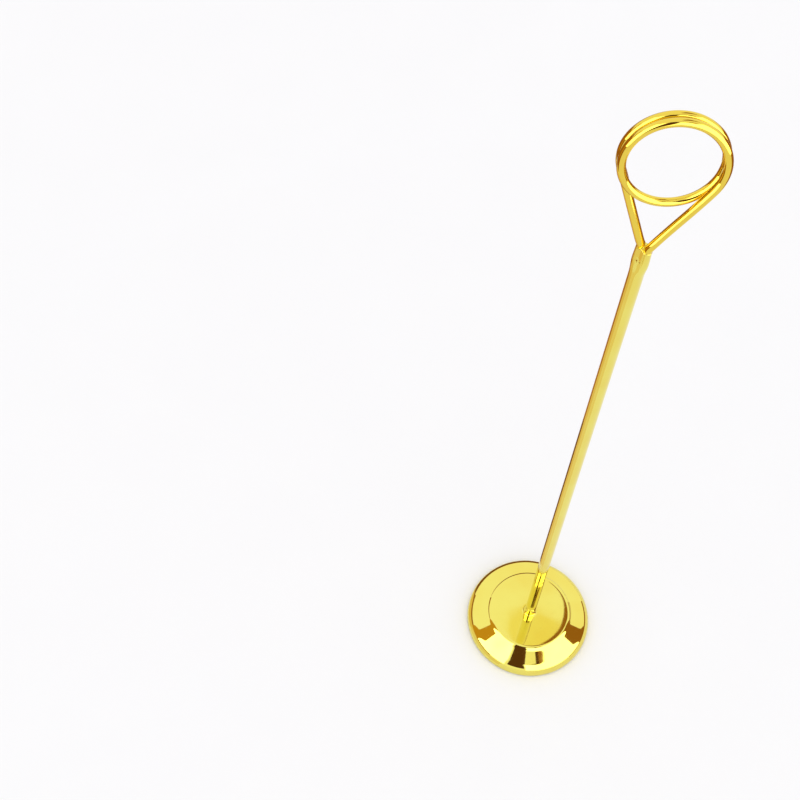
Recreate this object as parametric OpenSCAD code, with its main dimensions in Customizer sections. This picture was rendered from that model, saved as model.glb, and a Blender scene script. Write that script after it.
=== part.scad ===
// Table number holder: a weighted round base, a tubular stem and a coiled wire clip
// that grips the card between its turns.
// Lengths are in millimetres and +Z is up. The origin is on the table, under the stem's
// axis. The card faces -Y, which is the front.

/* [Base] */
// Diameter of the base over its rim
base_d = 60; // [56:1:70]
// Height of the base's flat top above the table
base_h = 10.6; // [10:0.1:12]
// Diameter of the flat disc in the middle of the base
disc_d = 36; // [34:1:40]
// Thickness of the drawn sheet
sheet_t = 0.7; // [0.5:0.1:0.8]
// Slope of the flange that runs from the step to the rim, in degrees
flange_slope = 24; // [20:1:28]
// Slope of the step round the disc, in degrees
step_slope = 46; // [36:1:50]
// Radius of the rounded shoulder at the rim
shoulder_r = 6; // [5:0.5:6]
// How far the pad stands below the sheet's cut edge
pad_proud = 0.5; // [0.3:0.1:0.8]

/* [Stem] */
// Outside diameter of the stem tube
tube_d = 5.1; // [5:0.1:6]
// Wall of the stem tube
tube_wall = 0.4; // [0.3:0.05:0.5]
// Height of the tube's mouth above the table
mouth_h = 317; // [90:1:360]
// Length of the pressed end that grips the wire
crimp_len = 7; // [6:0.5:9]
// Diameter of the small collar at the stem's foot
collar_d = 6.2; // [6:0.1:8]
// Thickness of the collar
collar_t = 0.5; // [0.4:0.1:1.2]

/* [Clip] */
// Diameter of the spring wire
wire_d = 2.8; // [2.3:0.05:2.8]
// Radius of the coil, to the middle of the wire
coil_r = 15.2; // [12:0.1:18]
// Height of the coil's centre above the tube's mouth
coil_rise = 34.2; // [28:0.2:40]
// Distance from one turn of the coil to the next
coil_pitch = 3.3; // [3.1:0.1:4.5]
// How far the pair of legs is turned in the tube, so that one stands before the other
leg_turn = 45; // [0:5:45]
// How far the clip leans back, in degrees
clip_lean = 12.5; // [0:0.5:15]
// How far the hand-bent clip stands off square, towards its front leg, in degrees
clip_tilt = 5; // [0:0.5:6]

/* [Fixings] */
// Thread diameter of the screw under the base
screw_d = 3; // [2.5:0.1:3]
// Diameter of the screw's head
screw_head_d = 5.6; // [5:0.1:6.2]
// Length of thread inside the stem
screw_bite = 8; // [6:0.5:9]

/* [Hidden] */
round_fn = 96;
gap = 0.05;                       // running clearance of the screw in its thread

// Base
base_r = base_d / 2;
disc_r = disc_d / 2;
hole_r = screw_d / 2 + 0.2;       // clearance hole through sheet, weight and washers
step_r = 3.0;                     // rounding from the disc into the step
foot_r = 1.6;                     // hollow rounding from the step into the flange
arc_steps = 8;

// Width and drop of the rounded stretches, from which the flange's length follows
step_w = step_r * sin(step_slope);
foot_w = foot_r * (sin(step_slope) - sin(flange_slope));
shoulder_w = shoulder_r * (1 - sin(flange_slope));
flange_len = (base_r - disc_r - step_w - foot_w - shoulder_w) / cos(flange_slope);
step_drop = step_r * (1 - cos(step_slope));
foot_drop = foot_r * (cos(flange_slope) - cos(step_slope));
flange_drop = flange_len * sin(flange_slope);
foot_at = [disc_r + step_w + foot_r * sin(step_slope),
           base_h - step_drop + foot_r * cos(step_slope)];
shoulder_at = [base_r - shoulder_r,
               base_h - step_drop - foot_drop - flange_drop
               - shoulder_r * cos(flange_slope)];

// Weight and pad
weight_gap = 0.15;                // play between the casting and the sheet's flange
weight_bottom = 2.2;
weight_r = base_r - sheet_t - 1.4;
pad_r = base_r - sheet_t - 0.6;
bore_r = 4.2;                     // counterbore for the screw's head
bore_top = 6.4;
washer_r = 3.3;
washer_t = 0.5;
spring_t = 0.9;
head_h = 2.1;
recess_w = 0.8;                   // cross recess in the screw's head
recess_len = 3.2;
recess_depth = 1.2;

// Stem
tube_r = tube_d / 2;
bore_in_tube = tube_r - tube_wall;
collar_top = base_h + collar_t;
collar_round = 0.3;               // rounding of the collar's upper edge
insert_len = 12;
crimp_blend = 3;                  // length over which round turns into pressed
crimp_wall = 0.25;
crimp_top = mouth_h;
crimp_bottom = crimp_top - crimp_len;
dimple_r = 0.9;
dimple_sink = 0.12;
dimple_drop = 4.5;                // from the mouth down to the two punched dimples
groove_sink = 0.25;

// Clip
wire_r = wire_d / 2;
leg_gap = wire_r + 0.04;          // half the distance between the two legs in the tube
leg_x = leg_gap * cos(leg_turn);
leg_y = leg_gap * sin(leg_turn);
leg_bend = 3;                     // radius of the bend where a leg leaves the tube
lean_len = 4;                     // length over which the clip starts to lean
wire_sides = 12;
turn_step = 6;                    // degrees of coil from one ring of points to the next
leg_steps = 8;
// Splay of the legs, so that each one runs straight onto the coil
splay = atan2(coil_rise, leg_x + leg_bend)
        - acos((coil_r + leg_bend) / norm([coil_rise, leg_x + leg_bend]));
coil_turn = 540 + 2 * splay;      // degrees of coil from one leg to the other
coil_depth = coil_pitch * coil_turn / 360;
coil_steps = ceil(coil_turn / turn_step);
bend_end = [leg_x + leg_bend * (1 - cos(splay)), leg_bend * sin(splay)];
coil_start = [coil_r * cos(splay), coil_rise - coil_r * sin(splay)];

// Points [radius, height, slope] of the sheet's outer face, from the hole to the rim
function arc(centre, r, from, to) =
    [for (i = [0 : arc_steps])
        let (a = from + (to - from) * i / arc_steps)
        [centre[0] + r * sin(a), centre[1] + r * cos(a), a]];

outer_face = concat(
    [[hole_r, base_h, 0]],
    arc([disc_r, base_h - step_r], step_r, 0, step_slope),
    arc(foot_at, -foot_r, step_slope, flange_slope),
    arc(shoulder_at, shoulder_r, flange_slope, 90),
    [[base_r, pad_proud, 90]]);

// The same face moved inwards by a distance, square to the sheet
function inset(t) =
    [for (p = outer_face) [p[0] - t * sin(p[2]), p[1] - t * cos(p[2])]];

function backwards(points) =
    [for (i = [len(points) - 1 : -1 : 0]) points[i]];

// Middle of the wire, as [across, along, towards the back] in the clip's own plane
function ease(u) = u * u * (3 - 2 * u);

function leg_point(side, i) =
    let (u = i / leg_steps,
         p = bend_end + (coil_start - bend_end) * u,
         reach = leg_y + (coil_depth / 2 - leg_y) * ease(u))
    [side * p[0], p[1], -side * reach];

function bend_point(side, i) =
    let (a = splay * i / 3)
    [side * (leg_x + leg_bend * (1 - cos(a))), leg_bend * sin(a), -side * leg_y];

function coil_point(i) =
    let (u = i / coil_steps,
         a = -splay + coil_turn * u)
    [coil_r * cos(a), coil_rise + coil_r * sin(a), coil_depth * (u - 0.5)];

wire_flat = concat(
    [[leg_x, -crimp_len, -leg_y], [leg_x, -crimp_len / 2, -leg_y]],
    [for (i = [0 : 2]) bend_point(1, i)],
    [for (i = [0 : leg_steps - 1]) leg_point(1, i)],
    [for (i = [0 : coil_steps]) coil_point(i)],
    [for (i = [leg_steps - 1 : -1 : 0]) leg_point(-1, i)],
    [for (i = [2 : -1 : 0]) bend_point(-1, i)],
    [[-leg_x, -crimp_len / 2, leg_y], [-leg_x, -crimp_len, leg_y]]);

// Bend a point [across, along] by an angle: an arc just above the mouth, then straight
function bent(across, along, angle) =
    let (a = angle * max(0, min(1, along / lean_len)),
         r = angle > 0 ? lean_len / (angle * PI / 180) : 0,
         past = max(0, along - lean_len),
         up = along < 0 || r == 0 ? min(along, lean_len) : r * sin(a))
    [r * (1 - cos(a)) + past * sin(a) + across * cos(a),
     up + past * cos(a) - across * sin(a)];

function leaned(p) =
    let (tilted = bent(p[0], p[1], clip_tilt),
         back = bent(p[2], tilted[1], clip_lean))
    [tilted[0], back[0], mouth_h + back[1]];

wire_path = [for (p = wire_flat) leaned(p)];

// Closed tube of a given radius along a path that never runs along Y
module swept_wire(path, r, sides) {
    last = len(path) - 1;
    points = [for (i = [0 : last])
        let (ahead = path[min(last, i + 1)] - path[max(0, i - 1)],
             dir = ahead / norm(ahead),
             side_raw = cross(dir, [0, 1, 0]),
             side = side_raw / norm(side_raw),
             up = cross(side, dir))
        for (k = [0 : sides - 1])
            path[i] + r * (cos(360 * k / sides) * side + sin(360 * k / sides) * up)];
    skin = [for (i = [0 : last - 1]) for (k = [0 : sides - 1])
        [i * sides + k, i * sides + (k + 1) % sides,
         (i + 1) * sides + (k + 1) % sides, (i + 1) * sides + k]];
    start_cap = [for (k = [sides - 1 : -1 : 0]) k];
    end_cap = [for (k = [0 : sides - 1]) last * sides + k];
    polyhedron(points, concat(skin, [start_cap, end_cap]));
}

// Disc with a round hole, standing on a given height
module ring_disc(r, hole, bottom, top) {
    difference() {
        translate([0, 0, bottom])
            cylinder(r = r, h = top - bottom, $fn = round_fn);
        translate([0, 0, bottom - 1])
            cylinder(r = hole, h = top - bottom + 2, $fn = round_fn);
    }
}

// Outline of the pressed tube end: it follows the two wires and leaves a shallow groove
module crimp_outline(margin) {
    rotate(-leg_turn) {
        for (side = [-1, 1])
            translate([side * leg_gap, 0])
                circle(r = wire_r + margin, $fn = 48);
        square([2 * leg_gap, 2 * (wire_r + margin - groove_sink)], center = true);
    }
}

// Drawn sheet cap: flat disc, rounded step, sloping flange and rolled rim
module base_shell() color("gold")
    rotate_extrude($fn = round_fn)
        polygon(concat([for (p = outer_face) [p[0], p[1]]],
                       backwards(inset(sheet_t))));

// Cast disc under the cap, clamped by the screw
module base_weight() color("dimgray")
    difference() {
        rotate_extrude($fn = round_fn)
            intersection() {
                polygon(concat([[0, base_h - sheet_t]],
                               [for (p = inset(sheet_t + weight_gap))
                                   [p[0], min(p[1], base_h - sheet_t)]],
                               [[0, pad_proud]]));
                translate([0, weight_bottom])
                    square([weight_r, base_h]);
            }
        translate([0, 0, weight_bottom - 1])
            cylinder(r = bore_r, h = bore_top - weight_bottom + 1, $fn = round_fn);
        cylinder(r = hole_r, h = base_h + 1, $fn = round_fn);
    }

// Soft foam pad that the holder stands on
module base_pad() color("black")
    cylinder(r = pad_r, h = weight_bottom, $fn = round_fn);

// Pan-head screw, driven from below into the stem
module stem_screw() color("silver") {
    head_top = bore_top - washer_t - spring_t;
    difference() {
        union() {
            translate([0, 0, head_top])
                cylinder(r = screw_d / 2, h = collar_top + screw_bite - head_top, $fn = 48);
            rotate_extrude($fn = 64)
                polygon([[0, head_top], [screw_head_d / 2, head_top],
                         [screw_head_d / 2, head_top - 0.9],
                         [screw_head_d / 2 - 0.5, head_top - 1.6],
                         [screw_head_d / 2 - 1.3, head_top - head_h],
                         [0, head_top - head_h]]);
        }
        for (turn = [0, 90])
            rotate([0, 0, turn])
                translate([-recess_len / 2, -recess_w / 2, head_top - head_h - 1])
                    cube([recess_len, recess_w, recess_depth + 1]);
    }
}

// Split spring washer that keeps the screw from working loose
module spring_washer() color("silver")
    difference() {
        ring_disc(screw_d / 2 + 1.3, hole_r, bore_top - washer_t - spring_t,
                  bore_top - washer_t);
        translate([0, -0.3, bore_top - washer_t - spring_t - 1])
            cube([washer_r + 1, 0.6, spring_t + 2]);
    }

// Plain washer between the spring washer and the casting
module flat_washer() color("silver")
    ring_disc(washer_r, hole_r, bore_top - washer_t, bore_top);

// Small turned collar on which the stem stands
module foot_collar() color("gold")
    rotate_extrude($fn = round_fn)
        polygon(concat([[hole_r, base_h], [collar_d / 2, base_h]],
                       [for (a = [0 : 15 : 90])
                           [collar_d / 2 - collar_round * (1 - cos(a)),
                            collar_top - collar_round * (1 - sin(a))]],
                       [[hole_r, collar_top]]));

// Threaded plug pressed into the tube's foot
module stem_insert() color("goldenrod")
    difference() {
        translate([0, 0, collar_top])
            cylinder(r = bore_in_tube, h = insert_len, $fn = round_fn);
        translate([0, 0, collar_top - 1])
            cylinder(r = screw_d / 2 + gap, h = screw_bite + 2, $fn = 48);
    }

// Tube with its upper end pressed round the two legs of the wire
module stem_tube() color("gold") {
    round_top = crimp_bottom - crimp_blend;
    groove_face = wire_r + crimp_wall - groove_sink;
    difference() {
        translate([0, 0, collar_top])
            cylinder(r = tube_r, h = round_top - collar_top, $fn = round_fn);
        translate([0, 0, collar_top - 1])
            cylinder(r = bore_in_tube, h = round_top - collar_top + 2, $fn = round_fn);
    }
    difference() {
        crimp_blend_body(tube_r, crimp_wall, round_top, crimp_bottom);
        crimp_blend_body(bore_in_tube, 0.03, round_top - 0.01, crimp_bottom + 0.01);
    }
    difference() {
        translate([0, 0, crimp_bottom])
            linear_extrude(crimp_len)
                crimp_outline(crimp_wall);
        translate([0, 0, crimp_bottom - 1])
            linear_extrude(crimp_len + 2)
                crimp_outline(0.03);
        rotate([0, 0, -leg_turn])
            for (side = [-1, 1])
                translate([0, side * (groove_face + dimple_r - dimple_sink),
                           mouth_h - dimple_drop])
                    sphere(r = dimple_r, $fn = 24);
    }
}

// Blend from a circle to the pressed outline
module crimp_blend_body(r, margin, bottom, top) {
    hull() {
        translate([0, 0, bottom])
            cylinder(r = r, h = 0.01, $fn = 32);
        translate([0, 0, top - 0.01])
            linear_extrude(0.01)
                rotate(-leg_turn)
                    hull() for (side = [-1, 1])
                        translate([side * leg_gap, 0])
                            circle(r = wire_r + margin, $fn = 32);
    }
}

// One length of spring wire: leg, one and a half turns and more of coil, leg
module clip_wire() color("gold")
    swept_wire(wire_path, wire_r, wire_sides);

base_shell();
base_weight();
base_pad();
stem_screw();
spring_washer();
flat_washer();
foot_collar();
stem_insert();
stem_tube();
clip_wire();
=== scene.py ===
# %% [markdown]
# # Table number holder
# A pressed round base hides a cast weight. A thin tube stands on it, and a coil of spring
# wire at the top grips a card between its turns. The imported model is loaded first, because
# every piece below takes its place from it. The pieces could be placed by eye, but then
# they would not follow the joint. Blender works in metres. The origin is on the table
# under the tube's axis, +Z is up and the card faces -Y.

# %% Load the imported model
import math

import bmesh
import bpy
from mathutils import Matrix, Vector, noise


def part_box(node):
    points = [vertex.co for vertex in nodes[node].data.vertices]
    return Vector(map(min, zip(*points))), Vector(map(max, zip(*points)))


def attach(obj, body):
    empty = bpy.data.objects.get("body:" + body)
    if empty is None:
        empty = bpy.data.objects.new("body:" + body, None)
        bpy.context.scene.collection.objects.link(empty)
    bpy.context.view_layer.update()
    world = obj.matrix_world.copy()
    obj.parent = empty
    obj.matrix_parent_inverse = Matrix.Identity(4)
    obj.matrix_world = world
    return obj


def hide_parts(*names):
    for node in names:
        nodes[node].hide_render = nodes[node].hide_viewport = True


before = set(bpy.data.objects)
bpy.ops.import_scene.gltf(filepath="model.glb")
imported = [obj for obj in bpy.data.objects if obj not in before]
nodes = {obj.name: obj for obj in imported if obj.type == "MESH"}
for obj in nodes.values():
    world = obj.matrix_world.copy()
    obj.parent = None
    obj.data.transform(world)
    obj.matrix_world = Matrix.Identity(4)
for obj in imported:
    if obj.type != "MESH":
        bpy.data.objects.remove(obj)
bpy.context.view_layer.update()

# %% [markdown]
# ## Sizes
# A maker writes this holder's drawing in millimetres, so the shapes below are worked out in
# millimetres and scaled once, when a mesh is made. Outer sizes are read from the packed
# nodes. Slopes and radii, and the round part of a tube that is pressed wider at one end,
# are driving dimensions that a box can't show, so they are named here with the values of
# the design.

# %% Read the outer sizes and name the rest
MM = 0.001


def box_mm(node):
    """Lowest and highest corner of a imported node, in millimetres."""
    low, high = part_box(node)
    return low / MM, high / MM


def sine(degrees):
    """Sine of an angle in degrees."""
    return math.sin(math.radians(degrees))


def cosine(degrees):
    """Cosine of an angle in degrees."""
    return math.cos(math.radians(degrees))


shell_low, shell_high = box_mm("base_shell")
pad_low, pad_high = box_mm("base_pad")
collar_low, collar_high = box_mm("foot_collar")
tube_low, tube_high = box_mm("stem_tube")

base_r = shell_high.x
base_h = shell_high.z
sheet_t = 0.7
disc_r = 18
step_slope = 46
step_r = 3
foot_r = 1.6
flange_slope = 24
shoulder_r = 6
hole_r = 1.7

tube_r = 2.55
tube_wall = 0.4
mouth_h = tube_high.z
crimp_len = 7
crimp_wall = 0.25

wire_r = 1.4
leg_turn = 45
leg_gap = wire_r + 0.04
leg_x = leg_gap * cosine(leg_turn)
leg_y = leg_gap * sine(leg_turn)
leg_bend = 3
coil_r = 15.2
coil_rise = 34.2
coil_pitch = 3.3
clip_lean = 12.5
clip_tilt = 5
lean_len = 4
print("base", round(2 * base_r, 2), "x", round(base_h, 2), "mm, tube to", round(mouth_h, 1))

# %% [markdown]
# ## One way to skin a shape
# Nearly every part of the holder is round in section: it is turned, spun, drawn or pressed
# from a round thing. Such a surface can be a row of rings with faces between neighbours.
# Modifiers such as Screw or a bevelled curve do this too, but rings in code let one
# function serve the sheet, the tube and the wire, and each point can carry its place
# along and around the piece. The finishes use that place, because polishing and
# drawing marks run along or around the metal and not along the world's axes.

# %% Build a mesh from rings
def circle(radius, height, count):
    """Ring of points round the Z axis."""
    turns = [2 * math.pi * k / count for k in range(count)]
    return [Vector((radius * math.cos(a), radius * math.sin(a), height)) for a in turns]


def ring_distances(rings):
    """Distance travelled from the first ring to each ring, in millimetres."""
    distances = [0.0]
    for before, after in zip(rings, rings[1:]):
        distances.append(distances[-1] + (after[0] - before[0]).length)
    return distances


def skin(name, rings, loop=False):
    """Smooth solid whose surface joins the rings; its ends are closed unless it loops."""
    count = len(rings[0])
    points = [p for ring in rings for p in ring]
    along = [d for d in ring_distances(rings) for _ in range(count)]
    around = [2 * math.pi * k / count for _ in rings for k in range(count)]
    faces = []
    for i in range(len(rings) if loop else len(rings) - 1):
        a, b = i * count, (i + 1) % len(rings) * count
        for k in range(count):
            m = (k + 1) % count
            faces.append((a + k, a + m, b + m, b + k))
    if not loop:
        for start in (0, len(points) - count):
            middle = sum((points[start + k] for k in range(count)), Vector()) / count
            faces += [(start + k, start + (k + 1) % count, len(along)) for k in range(count)]
            points.append(middle)
            along.append(along[start])
            around.append(0)
    mesh = bpy.data.meshes.new(name)
    mesh.from_pydata([p * MM for p in points], [], faces)
    grain = mesh.attributes.new("grain", "FLOAT_VECTOR", "POINT")
    for i, (distance, angle) in enumerate(zip(along, around)):
        grain.data[i].vector = (distance, math.cos(angle), math.sin(angle))
    shaped = bmesh.new()
    shaped.from_mesh(mesh)
    bmesh.ops.recalc_face_normals(shaped, faces=shaped.faces)
    shaped.to_mesh(mesh)
    shaped.free()
    mesh.shade_smooth()
    piece = bpy.data.objects.new(name, mesh)
    bpy.context.scene.collection.objects.link(piece)
    print(name, len(mesh.vertices), "points")
    return piece


def install(piece, body, slot, *nodes):
    """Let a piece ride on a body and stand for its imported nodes."""
    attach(piece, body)
    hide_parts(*nodes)
    return piece


# %% [markdown]
# ## The base cap
# The cap is one disc of thin stainless sheet, pressed to a flat top, a rounded step, a
# sloping flange and a turned-down rim, then polished and plated. It could be a bevelled
# cylinder, but its reflections break exactly where the curves change, so the outline is
# drawn as straight lines and true arcs with the sheet's real thickness and spun round
# the axis. The cut edges are rounded, as a deburred edge is.

# %% Outline and spin the base cap
def arc(centre, radius, start, end, steps=14):
    """Points (across, up, slope) along an arc. Slopes are in degrees from level."""
    points = []
    for i in range(steps + 1):
        slope = start + (end - start) * i / steps
        a = math.radians(slope)
        points.append((centre[0] + radius * math.sin(a), centre[1] + radius * math.cos(a), slope))
    return points


def straight(a, b, steps=8):
    """Points between two outline points, without its ends."""
    return [tuple(p + (q - p) * i / steps for p, q in zip(a, b)) for i in range(1, steps)]


def spin(outline, count=288):
    """Rings for an outline of (across, up, ...) points."""
    return [circle(p[0], p[1], count) for p in outline]


step_w = step_r * sine(step_slope)
foot_w = foot_r * (sine(step_slope) - sine(flange_slope))
shoulder_w = shoulder_r * (1 - sine(flange_slope))
flange_len = (base_r - disc_r - step_w - foot_w - shoulder_w) / cosine(flange_slope)
step_drop = step_r * (1 - cosine(step_slope))
foot_drop = foot_r * (cosine(flange_slope) - cosine(step_slope))
foot_at = (disc_r + step_w + foot_r * sine(step_slope),
           base_h - step_drop + foot_r * cosine(step_slope))
shoulder_at = (base_r - shoulder_r,
               base_h - step_drop - foot_drop - flange_len * sine(flange_slope)
               - shoulder_r * cosine(flange_slope))
half_t = sheet_t / 2
rim_h = shell_low.z + half_t
hole_top = (hole_r + half_t, base_h, 0)
step_face = arc((disc_r, base_h - step_r), step_r, 0, step_slope)
foot_face = arc(foot_at, -foot_r, step_slope, flange_slope)
shoulder_face = arc(shoulder_at, shoulder_r, flange_slope, 90, 24)
rim_end = (base_r, rim_h, 90)
outer_face = [hole_top, *straight(hole_top, step_face[0]), *step_face, *foot_face[1:],
              *straight(foot_face[-1], shoulder_face[0]), *shoulder_face, rim_end]
inner_face = [(p[0] - sheet_t * sine(p[2]), p[1] - sheet_t * cosine(p[2])) for p in outer_face]
rim_edge = arc((base_r - half_t, rim_h), half_t, 90, 270)[1:-1]
hole_edge = arc((hole_r + half_t, base_h - half_t), half_t, 180, 360)[1:-1]

cap = skin("base_cap", spin([*outer_face, *rim_edge, *inner_face[::-1], *hole_edge]), loop=True)
install(cap, "base", "gold_base", "base_shell")

# %% [markdown]
# ## The foam pad
# A die-cut disc of closed-cell foam is glued under the weight, so that the metal never
# touches the table. Only a dark line of it shows under the rim. A flat disc would give a
# ruler-straight line, so the cut side bulges a little where it is squeezed and small
# cells break its surface.

# %% Spin the foam pad
pad_edge = 0.35
pad_bulge = 0.12
cell_size = 0.5
cell_depth = 0.05


def pad_outline():
    """Outline of the pad from the middle of its underside to the middle of its top."""
    low, high, r = pad_low.z, pad_high.z, pad_high.x - pad_bulge
    corner = r - pad_edge
    under = [(corner * i / 10, low) for i in range(1, 11)]
    lower = [(corner + pad_edge * cosine(a), low + pad_edge + pad_edge * sine(a))
             for a in range(-75, 1, 15)]
    side_h = high - low - 2 * pad_edge
    side = [(r + pad_bulge * sine(180 * i / 8), low + pad_edge + side_h * i / 8)
            for i in range(1, 8)]
    return under + lower + side + [(r, high - pad_edge), (corner, high)] + [
        (corner * i / 10, high) for i in range(9, 0, -1)]


pad_rings = spin(pad_outline(), 360)
for ring in pad_rings:
    for p in ring:
        if p.z > pad_low.z and p.xy.length > pad_high.x - 1:
            sunk = cell_depth * max(0, noise.noise(p / cell_size))
            p.xy *= 1 - sunk / p.xy.length
pad = skin("foam_pad", pad_rings)
install(pad, "base", "foam_pad", "base_pad")

# %% [markdown]
# ## The foot collar
# A small turned collar sits between the cap and the tube and takes the clamping load. It
# is a plain ring with a rounded upper edge, so it is spun like the cap. Its curve is
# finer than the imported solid's, because the disc mirrors it.

# %% Spin the foot collar
collar_r = collar_high.x
collar_edge = 0.3
burr = 0.05
upper_edge = [(collar_r - collar_edge + collar_edge * cosine(a),
               collar_high.z - collar_edge + collar_edge * sine(a)) for a in range(0, 91, 9)]
collar_outline = [(hole_r, collar_low.z), (hole_r + burr, collar_low.z),
                  (collar_r - burr, collar_low.z), (collar_r, collar_low.z + burr),
                  *upper_edge,
                  (hole_r + burr, collar_high.z), (hole_r, collar_high.z - burr)]
collar = skin("foot_collar_turned", spin(collar_outline, 128), loop=True)
install(collar, "base", "gold_stem", "foot_collar")

# %% [markdown]
# ## The stem tube
# The stem is drawn tube. The two legs of the wire stand in its mouth one before the other,
# and a press squeezes the tube round them. That leaves a soft flat either side of the pair
# and four small punch marks, and a bead of braze fills the mouth between the legs. Two
# hulls and a boolean would give flat facets here. Instead each ring of the tube takes its
# radius from a formula that turns from a circle into the outline of two wires. The last
# rings fold over the lip and rise into the bead, which the legs come out of.

# %% Shape and skin the stem tube
swell_len = 7
squeeze_len = 11
press_start = mouth_h - crimp_len - swell_len
press_soft = 0.9
least_r = 0.05
mouth_wall = 0.07
saddle_rise = 0.9
saddle_len = 3.0
saddle_power = 6
bead_rise = 1.1
bead_pinhole = 0.02
lip_share = 0.12
mark_drop = 4.8
mark_w = 0.24
mark_sink = 0.05
mark_turns = (32, 72, 212, 252)


def pressed_radius(turn, margin, bridged):
    """Distance from the axis to the pressed outline in a direction, in degrees."""
    reach = wire_r + margin
    across, up = abs(cosine(turn + leg_turn)), abs(sine(turn + leg_turn))
    lobe = leg_gap * across + math.sqrt(max(0, reach ** 2 - (leg_gap * up) ** 2))
    if reach < leg_gap * up:
        lobe = least_r
    bridge = reach / max(up, 1e-6)
    if not bridged or bridge * across > leg_gap:
        return lobe
    return (lobe + bridge + math.hypot(lobe - bridge, press_soft)) / 2


def soft_step(u):
    """0 to 1 with a level start and end."""
    u = min(1, max(0, u))
    return u * u * (3 - 2 * u)


def tube_ring(height, round_r, margin, bridged=True, climb=1, count=180):
    """Ring of the tube: round below, pressed at the mouth, where the saddle climbs."""
    swell = soft_step((height - press_start) / swell_len)
    squeeze = soft_step((height - press_start) / squeeze_len)
    near_mouth = soft_step((height - mouth_h + saddle_len) / saddle_len)
    ring = []
    for k in range(count):
        turn = 360 * k / count
        change = pressed_radius(turn, margin, bridged) - round_r
        radius = round_r + change * (swell if change > 0 else squeeze)
        saddle = abs(sine(turn + leg_turn)) ** saddle_power
        for mark in mark_turns:
            aside = radius * math.radians((turn - mark + 180) % 360 - 180)
            away = math.hypot(aside, height - mouth_h + mark_drop)
            radius -= mark_sink * math.exp(-(away / mark_w) ** 2)
        ring.append(Vector((radius * cosine(turn), radius * sine(turn),
                            height + saddle_rise * saddle * near_mouth * climb)))
    return ring


bore_in_tube = tube_r - tube_wall
inner_margin = 0.02
lip_r = 0.12
tube_edge = 0.08
press_top = mouth_h - lip_r
straight_steps = 30
press_steps = 90
straight_start = tube_low.z + tube_edge
straight_heights = [straight_start + (press_start - tube_low.z - tube_edge) * i / straight_steps
                    for i in range(straight_steps)]
press_heights = [press_start + (press_top - press_start) * i / press_steps
                 for i in range(press_steps + 1)]


def outer_margin(height):
    """The tube's wall round the wires: full below, and dressed thin at the mouth."""
    u = soft_step((height - mouth_h + crimp_len) / crimp_len)
    return crimp_wall + (mouth_wall - crimp_wall) * u


outside = [tube_ring(tube_low.z, tube_r - tube_edge, 0)]
outside += [tube_ring(z, tube_r, outer_margin(z)) for z in straight_heights + press_heights]
rim = tube_ring(press_top, tube_r, mouth_wall)
bead_steps = 24
bead = []
for i in range(1, bead_steps + 1):
    share = i / bead_steps
    scale = 1 - share * (1 - bead_pinhole)
    lip = lip_r * sine(min(90, 90 * share / lip_share))
    lift = lip + (bead_rise - lip_r) * soft_step(share)
    bead.append([Vector((p.x * scale, p.y * scale, p.z + (press_top - p.z) * share + lift))
                 for p in rim])
inside = [tube_ring(z, bore_in_tube, inner_margin, bridged=False, climb=0)
          for z in press_heights[::-1] + straight_heights[::-1]]
under_bead = [[Vector((p.x * bead_pinhole, p.y * bead_pinhole, p.z)) for p in inside[0]]]
inside += [tube_ring(tube_low.z, bore_in_tube + tube_edge, 0)]
tube = skin("stem_tube_drawn", outside + bead + under_bead + inside, loop=True)
install(tube, "stem", "gold_stem", "stem_tube")

# %% [markdown]
# ## The wire clip
# One length of spring wire goes up out of the tube, winds just over one and a half turns and
# comes back down beside itself. The turns are close enough to pinch a card. A bevelled curve
# would be quick, but its handles would only come near the true helix, so the middle of
# the wire is worked out: two straight legs, two small bends and a helix, then the whole
# clip is bent back a little. A ring of points is set square to it at each step.

# %% Work out the wire's middle line
splay = math.degrees(math.atan2(coil_rise, leg_x + leg_bend)
                     - math.acos((coil_r + leg_bend) / math.hypot(coil_rise, leg_x + leg_bend)))
coil_turn = 540 + 2 * splay
coil_depth = coil_pitch * coil_turn / 360
bend_end = (leg_x + leg_bend * (1 - cosine(splay)), leg_bend * sine(splay))
coil_start = (coil_r * cosine(splay), coil_rise - coil_r * sine(splay))


def leg(side):
    """Middle of one leg, from inside the tube to the coil, as (across, along, back)."""
    points = [(side * leg_x, -crimp_len * (1 - i / 4), -side * leg_y) for i in range(4)]
    for i in range(8):
        a = splay * i / 8
        across = leg_x + leg_bend * (1 - cosine(a))
        points.append((side * across, leg_bend * sine(a), -side * leg_y))
    for i in range(24):
        u = i / 24
        across = bend_end[0] + (coil_start[0] - bend_end[0]) * u
        along = bend_end[1] + (coil_start[1] - bend_end[1]) * u
        back = leg_y + (coil_depth / 2 - leg_y) * soft_step(u)
        points.append((side * across, along, -side * back))
    return points


def coil(step=2):
    """Middle of the coil, from the front leg to the back leg."""
    count = math.ceil(coil_turn / step)
    points = []
    for i in range(count + 1):
        a = -splay + coil_turn * i / count
        points.append((coil_r * cosine(a), coil_rise + coil_r * sine(a),
                       coil_depth * (i / count - 0.5)))
    return points


def bent(across, along, angle):
    """Bend a point by an angle: an arc just above the mouth, then straight."""
    a = angle * max(0, min(1, along / lean_len))
    r = lean_len / math.radians(angle)
    past = max(0, along - lean_len)
    up = along if along < 0 else r * sine(a)
    return (r * (1 - cosine(a)) + past * sine(a) + across * cosine(a),
            up + past * cosine(a) - across * sine(a))


def leaned(p):
    """Place a point of the flat clip on the tube, tilted sideways and leaning back."""
    across, along = bent(p[0], p[1], clip_tilt)
    back, up = bent(p[2], along, clip_lean)
    return Vector((across, back, mouth_h + up))


wire_line = [leaned(p) for p in leg(1) + coil() + leg(-1)[::-1]]
wire_len = sum((b - a).length for a, b in zip(wire_line, wire_line[1:]))
print("wire", round(wire_len, 1), "mm long, splay", round(splay, 1), "degrees")

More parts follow.
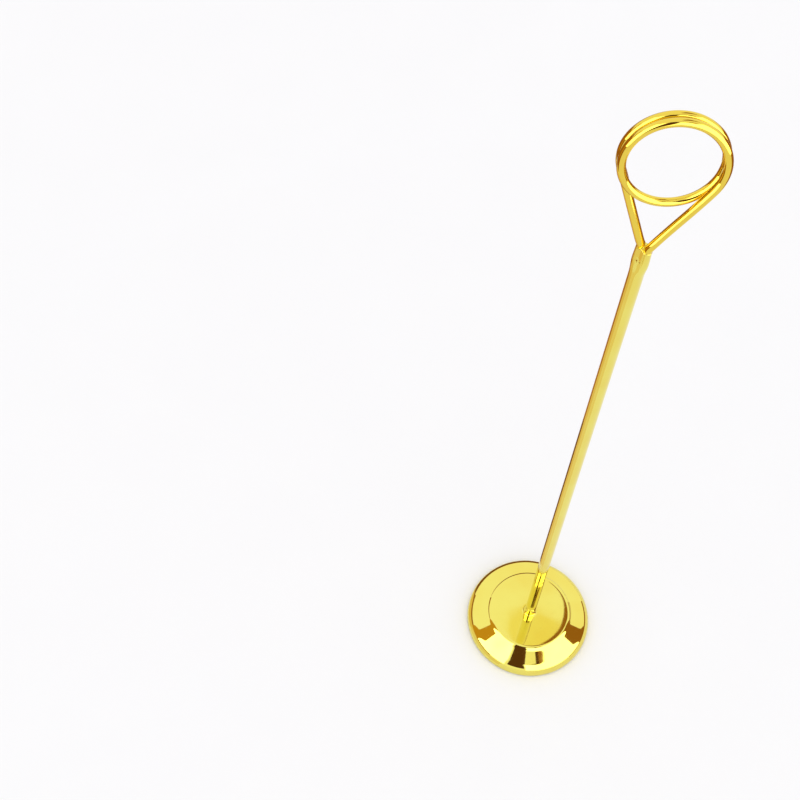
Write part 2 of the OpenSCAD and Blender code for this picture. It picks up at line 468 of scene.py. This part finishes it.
# %% Sweep the wire
cut_edge = 0.2


def wire_ring(i, radius, count=40):
    """Ring of points square to the wire's middle line."""
    before, after = wire_line[max(0, i - 1)], wire_line[min(len(wire_line) - 1, i + 1)]
    ahead = (after - before).normalized()
    side = ahead.cross(Vector((0, 1, 0))).normalized()
    up = side.cross(ahead)
    turns = [2 * math.pi * k / count for k in range(count)]
    return [wire_line[i] + radius * (math.cos(a) * side + math.sin(a) * up) for a in turns]


wire_rings = [wire_ring(i, wire_r) for i in range(len(wire_line))]
first_cut = wire_ring(0, wire_r - cut_edge)
last_cut = wire_ring(len(wire_line) - 1, wire_r - cut_edge)
above_cut = Vector((0, 0, cut_edge))
for end in (0, -1):
    wire_rings[end] = [p + above_cut for p in wire_rings[end]]
wire = skin("clip_wire_drawn", [first_cut, *wire_rings, last_cut])
install(wire, "stem", "gold_wire", "clip_wire")

# %% [markdown]
# ## Sums on shader sockets
# A finish is a small calculation done for each point of a surface. Wiring Math nodes by
# hand is slow to read, so one small class wraps a socket and gives it +, - and *. Each
# sum adds its Math node. Any other node comes from Finish.node, which sets the node's
# settings first and then its sockets.

# %% Wrap sockets and materials
class Signal:
    """One output socket. Arithmetic on it adds Math nodes."""

    def __init__(self, finish, socket):
        self.finish = finish
        self.socket = socket

    def maths(self, operation, *values):
        """Add a Math node that works on the values."""
        return self.finish.node("ShaderNodeMath", {"operation": operation}, dict(enumerate(values)))

    def __add__(self, other):
        return self.maths("ADD", self, other)

    def __radd__(self, other):
        return self.maths("ADD", other, self)

    def __sub__(self, other):
        return self.maths("SUBTRACT", self, other)

    def __rsub__(self, other):
        return self.maths("SUBTRACT", other, self)

    def __mul__(self, other):
        return self.maths("MULTIPLY", self, other)

    def __rmul__(self, other):
        return self.maths("MULTIPLY", other, self)

    def ramp(self, low, high):
        """0 below low and 1 above high, with a soft slope between."""
        return self.finish.node("ShaderNodeMapRange",
                                {"interpolation_type": "SMOOTHSTEP", "clamp": True},
                                {"Value": self, "From Min": low, "From Max": high})


class Finish:
    """A material with one Principled shader."""

    def __init__(self, name):
        self.material = bpy.data.materials.new(name)
        self.material.use_nodes = True
        self.tree = self.material.node_tree
        self.shader = self.tree.nodes["Principled BSDF"]

    def node(self, kind, settings=None, sockets=None, out=0):
        """Add a node, set its settings, fill its sockets and return one output."""
        made = self.tree.nodes.new(kind)
        for name, value in (settings or {}).items():
            setattr(made, name, value)
        for name, value in (sockets or {}).items():
            self.feed(made.inputs[name], value)
        return Signal(self, made.outputs[out])

    def feed(self, socket, value):
        """Give a socket a link or a plain value."""
        if isinstance(value, Signal):
            self.tree.links.new(value.socket, socket)
        else:
            socket.default_value = value

    def shade(self, **values):
        """Set or link the shader's own sockets, named with _ for a space."""
        for name, value in values.items():
            self.feed(self.shader.inputs[name.replace("_", " ")], value)

    def grain(self, along, around):
        """Place on the piece: stretched by one amount along it and another around it."""
        place = self.node("ShaderNodeAttribute", {"attribute_name": "grain"}, out="Vector")
        return self.node("ShaderNodeVectorMath", {"operation": "MULTIPLY"},
                         {0: place, 1: (along, around, around)})

    def place(self, scale):
        """Place in the frame, in millimetres times a scale."""
        where = self.node("ShaderNodeTexCoord", out="Object")
        return self.node("ShaderNodeVectorMath", {"operation": "SCALE"},
                         {0: where, "Scale": scale / MM})

    def noise(self, vector, detail=2.0, rough=0.5):
        """Soft random value of about 0 to 1."""
        return self.node("ShaderNodeTexNoise", None,
                         {"Vector": vector, "Scale": 1.0, "Detail": detail, "Roughness": rough})

    def mix(self, share, first, second):
        """Blend two colours by a share."""
        return self.node("ShaderNodeMix", {"data_type": "RGBA"}, {0: share, 6: first, 7: second}, out=2)

    def bump(self, height, depth_mm):
        """Normal for a height of 0 to 1 that is depth_mm deep."""
        return self.node("ShaderNodeBump", None,
                         {"Height": height, "Distance": depth_mm * MM, "Strength": 1.0})


def paint(finish, *pieces):
    """Give pieces one finish."""
    for piece in pieces:
        piece.data.materials.clear()
        piece.data.materials.append(finish.material)


# %% [markdown]
# ## Gold plating
# The cap, collar, tube and wire are polished steel with a thin hard gold-coloured plating.
# A single yellow with low roughness looks like plastic foil. Real plating varies a little
# in tint, carries fine marks from the polishing wheel or the drawing die, and has a faint
# unevenness that makes straight reflections wander. One function makes all three: the
# marks run round the cap and along the tube and wire, which is only a different
# stretch of the same grain. The wire gets a deeper yellow, because it mirrors so much white
# table that the cap's yellow would look too pale on it.

# %% Make the gold finishes
PALE_GOLD = (0.825, 0.735, 0.155, 1)
DEEP_GOLD = (0.79, 0.58, 0.07, 1)
WIRE_GOLD = (0.80, 0.60, 0.08, 1)
pit_depth = 0.002


def gold(name, along, around, roughness, line_depth, wave_depth, pale=PALE_GOLD):
    """Plated metal with lines that follow the grain."""
    finish = Finish(name)
    lines = finish.noise(finish.grain(along, around), 3, 0.6)
    smudge = finish.noise(finish.place(0.12), 3, 0.55)
    cloud = finish.noise(finish.place(0.05), 2)
    wave = finish.noise(finish.place(0.09), 0)
    pits = finish.noise(finish.place(2.2), 1).ramp(0.74, 0.80)
    tint = cloud.ramp(0.35, 0.7) * 0.35 + lines.ramp(0.45, 0.8) * 0.12 + pits * 0.3
    relief = lines * (line_depth / wave_depth) + wave - pits * (pit_depth / wave_depth)
    finish.shade(
        Base_Color=finish.mix(tint, pale, DEEP_GOLD),
        Metallic=1.0,
        Roughness=roughness + lines * 0.03 + smudge.ramp(0.4, 0.8) * 0.03 + pits * 0.1,
        Normal=finish.bump(relief, wave_depth))
    return finish


gold_base = gold("plated_cap", 14, 1.2, 0.015, 0.0006, 0.02)
gold_stem = gold("plated_tube", 0.25, 14, 0.04, 0.0008, 0.006)
gold_wire = gold("plated_wire", 0.3, 8, 0.03, 0.0008, 0.006, pale=WIRE_GOLD)
paint(gold_base, cap)
paint(gold_stem, collar, tube)
paint(gold_wire, wire)

# %% [markdown]
# ## Foam, casting, steel and brass
# The hidden pieces get finishes too, because the holder comes apart for repair. Foam is
# black and matt, with cells about half a millimetre across. The casting has a sandy skin
# with rust freckles. The screw and washers are zinc-plated and carry a fine crystal
# pattern. The plug is turned brass, so its marks run round it.

# %% Make the other finishes
foam = Finish("closed_cell_foam")
cells = foam.node("ShaderNodeTexVoronoi", None, {"Vector": foam.place(1.9), "Scale": 1.0},
                  out="Distance")
dust = foam.noise(foam.place(0.6), 4).ramp(0.45, 0.75)
foam.shade(Base_Color=foam.mix(dust * 0.6, (0.012, 0.012, 0.013, 1), (0.05, 0.048, 0.046, 1)),
           Roughness=0.82 + cells * 0.15,
           Normal=foam.bump(cells, 0.12))

casting = Finish("sand_casting")
sand = casting.noise(casting.place(1.4), 6, 0.65)
rust = casting.noise(casting.place(0.35), 4).ramp(0.58, 0.7)
casting.shade(Base_Color=casting.mix(rust * 0.7, (0.075, 0.073, 0.072, 1), (0.16, 0.065, 0.028, 1)),
              Metallic=0.8 - rust * 0.7,
              Roughness=0.5 + sand * 0.3 + rust * 0.15,
              Normal=casting.bump(sand, 0.18))

zinc = Finish("zinc_plating")
spangle = zinc.node("ShaderNodeTexVoronoi", None, {"Vector": zinc.place(1.1), "Scale": 1.0},
                    out="Color")
scuff = zinc.noise(zinc.place(3.0), 3)
zinc.shade(Base_Color=zinc.mix(spangle, (0.62, 0.65, 0.68, 1), (0.75, 0.76, 0.74, 1)),
           Metallic=1.0,
           Roughness=0.22 + scuff * 0.18,
           Normal=zinc.bump(scuff, 0.004))

brass = Finish("turned_brass")
tool_marks = brass.node("ShaderNodeTexWave", {"bands_direction": "Z"},
                        {"Vector": brass.place(1.0), "Scale": 1.6, "Distortion": 0.4})
tarnish = brass.noise(brass.place(0.4), 4)
brass.shade(Base_Color=brass.mix(tarnish.ramp(0.4, 0.75), (0.80, 0.58, 0.24, 1), (0.55, 0.36, 0.14, 1)),
            Metallic=1.0,
            Roughness=0.24 + tarnish * 0.2,
            Normal=brass.bump(tool_marks, 0.01))

paint(foam, pad)
paint(casting, nodes["base_weight"])
paint(zinc, nodes["stem_screw"], nodes["spring_washer"], nodes["flat_washer"])
paint(brass, nodes["stem_insert"])
print("finishes made:", [m.name for m in bpy.data.materials])

# %% [markdown]
# ## Floor and studio
# Polished gold shows the room more than itself, so the room matters as much as the metal.
# The holder stands in a white tent, whose even light leaves hardly a shadow. Two soft boxes
# stand in front, left and right, and between them and the tent are dark gaps, which give
# gold its brown lines. Lamps with hard edges would be simpler but leave the metal flat.

# %% Lay the floor
floor_half = 3.0  # metres
floor_mesh = bpy.data.meshes.new("floor")
corners = [(-1, -1), (1, -1), (1, 1), (-1, 1)]
floor_mesh.from_pydata([(x * floor_half, y * floor_half, 0) for x, y in corners], [],
                       [(0, 1, 2, 3)])
floor = bpy.data.objects.new("floor", floor_mesh)
bpy.context.scene.collection.objects.link(floor)
paper = Finish("white_paper")
fibre = paper.noise(paper.place(0.02), 3)
paper.shade(Base_Color=paper.mix(fibre, (0.876, 0.870, 0.884, 1), (0.892, 0.886, 0.898, 1)),
            Roughness=0.9, Specular_IOR_Level=0.1)
paint(paper, floor)
print("floor", 2 * floor_half, "m wide")

# %% [markdown]
# ## Cards that glow
# Each soft box or gap is a card that glows in its own colour. The metal sees it, and the
# camera and the floor don't, so a card can stand anywhere without casting light or shade.
# An area lamp could do this only for white light, and a picture of a room would tie the
# metal to that room. A card on a dome is placed by bearing and height, as the metal sees
# it. A mat lies flat on the table.

# %% Make the patches and mats
dome_r = 1.3


def glowing_sheet(name, rows, colour, strength):
    """Sheet of faces between rows of points, that shows in reflections only."""
    wide = len(rows[0])
    faces = [(j * wide + i, j * wide + i + 1, (j + 1) * wide + i + 1, (j + 1) * wide + i)
             for j in range(len(rows) - 1) for i in range(wide - 1)]
    mesh = bpy.data.meshes.new(name)
    mesh.from_pydata([p for row in rows for p in row], [], faces)
    card = bpy.data.objects.new(name, mesh)
    bpy.context.scene.collection.objects.link(card)
    glow = Finish(name)
    glow.shade(Base_Color=(0, 0, 0, 1), Roughness=1.0, Emission_Color=(*colour, 1),
               Emission_Strength=strength, Specular_IOR_Level=0.0)
    paint(glow, card)
    card.visible_camera = False
    card.visible_shadow = False
    card.visible_diffuse = False


def spread(ends, steps):
    """Even values from one end to the other."""
    return [ends[0] + (ends[1] - ends[0]) * i / steps for i in range(steps + 1)]


def facing(bearing, level, height):
    """Point at a level distance from the axis. Bearing runs from the back (+Y) to +X."""
    return (level * sine(bearing), level * cosine(bearing), height)


def patch(name, bearings, heights, colour, strength, radius=dome_r, steps=8):
    """Patch of a dome, in metres, between two bearings and two heights, in degrees."""
    rows = [[facing(bearing, radius * cosine(height), radius * sine(height))
             for bearing in spread(bearings, steps)] for height in spread(heights, steps)]
    glowing_sheet(name, rows, colour, strength)


def mat(name, bearings, reach, colour, strength, thickness=0.0004, steps=24):
    """Flat sector on the table between two bearings and two distances in metres."""
    rows = [[facing(bearing, distance, thickness) for bearing in spread(bearings, steps)]
            for distance in reach]
    glowing_sheet(name, rows, colour, strength)


# %% [markdown]
# ## The tent's boxes and gaps
# The two soft boxes fill most of the front. A dark gap between them stands where the
# camera looks in, with one small lamp in it, and brown gaps stand at both sides. The side
# gaps stand close to the holder, so the clip sees them low down as well.

# %% Hang the boxes and gaps round the holder
WHITE = (1.0, 0.99, 0.95)
ORANGE = (0.80, 0.40, 0.05)
BROWN = (0.50, 0.21, 0.05)
DARK = (0.22, 0.09, 0.04)
far_r = 12.0
wall_r = 2.4
near_r = 0.6
patch("soft_box_right", (97, 178), (5, 56), WHITE, 3.3)
patch("soft_box_right_top", (97, 136), (56, 62), WHITE, 3.3)
patch("soft_box_left", (-152, -103), (8, 62), WHITE, 3.3)
patch("gap_middle", (180, 204), (18, 68), DARK, 0.5)
patch("gap_middle_low", (150, 180), (56.5, 68), DARK, 0.6)
patch("lamp_in_gap", (156, 176), (58, 66), WHITE, 1.1, radius=1.2)
patch("gap_middle_right", (136, 150), (56.5, 68), BROWN, 0.8)
patch("gap_left", (-104, -86), (0, 60), ORANGE, 0.8, radius=near_r)
patch("gap_right", (79, 97), (0, 46), BROWN, 0.7, radius=near_r)
patch("gap_above", (21.5, 62), (52, 82), BROWN, 0.7, radius=far_r)
patch("seam_above", (14.8, 21.5), (67.9, 82), (1.0, 0.91, 0.52), 1.04, radius=far_r)
patch("wall_left", (-130, -50), (0, 14), BROWN, 0.8, radius=wall_r)
patch("wall_right", (55, 118), (0, 13), BROWN, 0.8, radius=wall_r)

# %% [markdown]
# ## Mats on the table
# The tube and the clip are seen from above, so their sides mirror the table. On white
# paper alone they would lose their dark left edge. Brown and tan mats behind and to the
# left give the tube that edge, and a wider pair does the same for the clip.

# %% Lay the mats
near_mat, tube_mat, clip_mat = (0.034, 0.12), (0.12, 0.30), (0.33, 2.8)
mat("dark_mat", (-62, 12), near_mat, BROWN, 0.45)
mat("brown_mat", (-58, 12), tube_mat, BROWN, 0.9)
mat("tan_mat", (-100, -58), (near_mat[0], tube_mat[1]), (0.90, 0.66, 0.34), 0.95)
mat("straw_mat", (-150, -100), (near_mat[0], tube_mat[1]), (0.97, 0.84, 0.66), 0.95)
mat("clip_mat_left", (-128, 2), clip_mat, BROWN, 0.75)
mat("clip_mat_right", (34, 118), clip_mat, BROWN, 0.75)

# %% Light the tent
world = bpy.data.worlds.new("tent")
world.use_nodes = True
tent_light = world.node_tree.nodes["Background"].inputs
tent_light["Color"].default_value = (1.0, 1.0, 1.0, 1)
tent_light["Strength"].default_value = 1.1
bpy.context.scene.world = world
bpy.context.scene.view_settings.view_transform = "Standard"

# %% [markdown]
# ## Camera
# The holder is seen from the front and well above, with a short telephoto lens, so the
# base looks small under the tall stem. The camera is set by where it stands and how far it
# looks down, turns and rolls, because those are what a photographer would change.

# %% Place the camera
lens_mm = 64.96
stands_at = Vector((-71.15, -261.76, 676.56)) * MM
looks_down = 60.64
rolls = 4.21
swings = -1.43
camera_data = bpy.data.cameras.new("camera")
camera_data.lens = lens_mm
camera_data.sensor_width = 36
camera = bpy.data.objects.new("camera", camera_data)
bpy.context.scene.collection.objects.link(camera)
camera.matrix_world = (Matrix.Rotation(math.radians(swings), 4, "Z")
                       @ Matrix.Translation(stands_at)
                       @ Matrix.Rotation(math.radians(90 - looks_down), 4, "X")
                       @ Matrix.Rotation(math.radians(rolls), 4, "Z"))
bpy.context.scene.camera = camera
print("camera at", [round(x, 3) for x in camera.matrix_world.translation])
